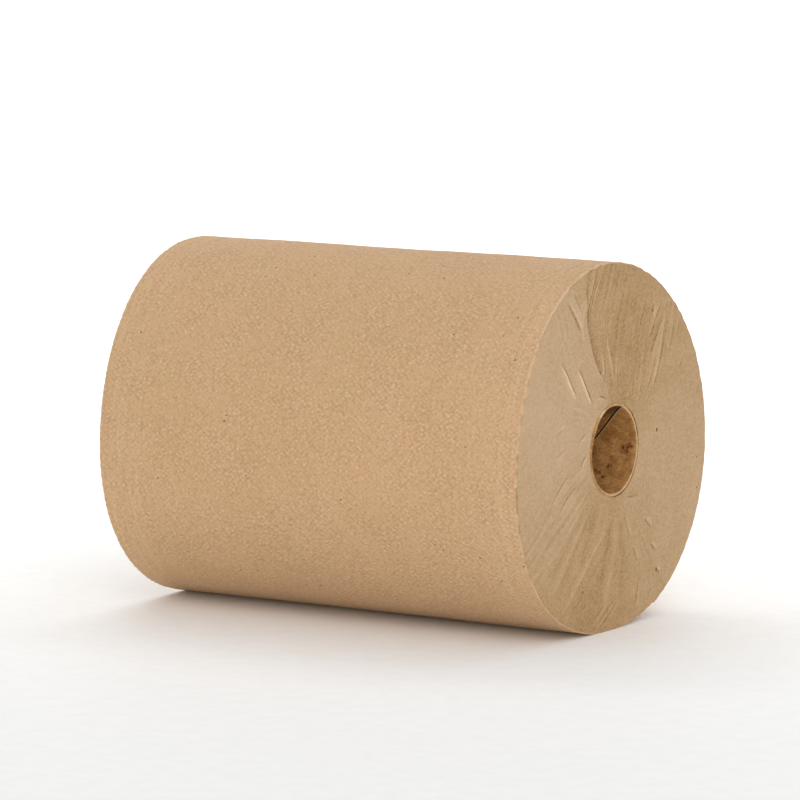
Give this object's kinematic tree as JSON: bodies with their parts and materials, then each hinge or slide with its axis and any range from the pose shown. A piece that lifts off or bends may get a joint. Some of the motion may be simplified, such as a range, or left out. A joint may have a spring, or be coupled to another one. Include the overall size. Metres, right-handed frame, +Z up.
{
  "type": "paper towel roll",
  "caption": "Hard-wound kraft paper towel roll on a spiral-wound paperboard core, lying on a small flat spot.",
  "frame": {"origin": "on the surface that the roll lies on, straight below its axis and half way along its width", "axes": "+X along the roll's axis, out of the end that shows; +Z up; +Y away from the side that shows"},
  "size_m": [0.203, 0.1514, 0.1507],
  "materials": {
    "core_board": "matt spiral-wound paperboard",
    "kraft_towel": "matt creped kraft paper"
  },
  "bodies": {
    "root": {"core_tube": "core_board", "towel_web": "kraft_towel"}
  },
  "joints": []
}
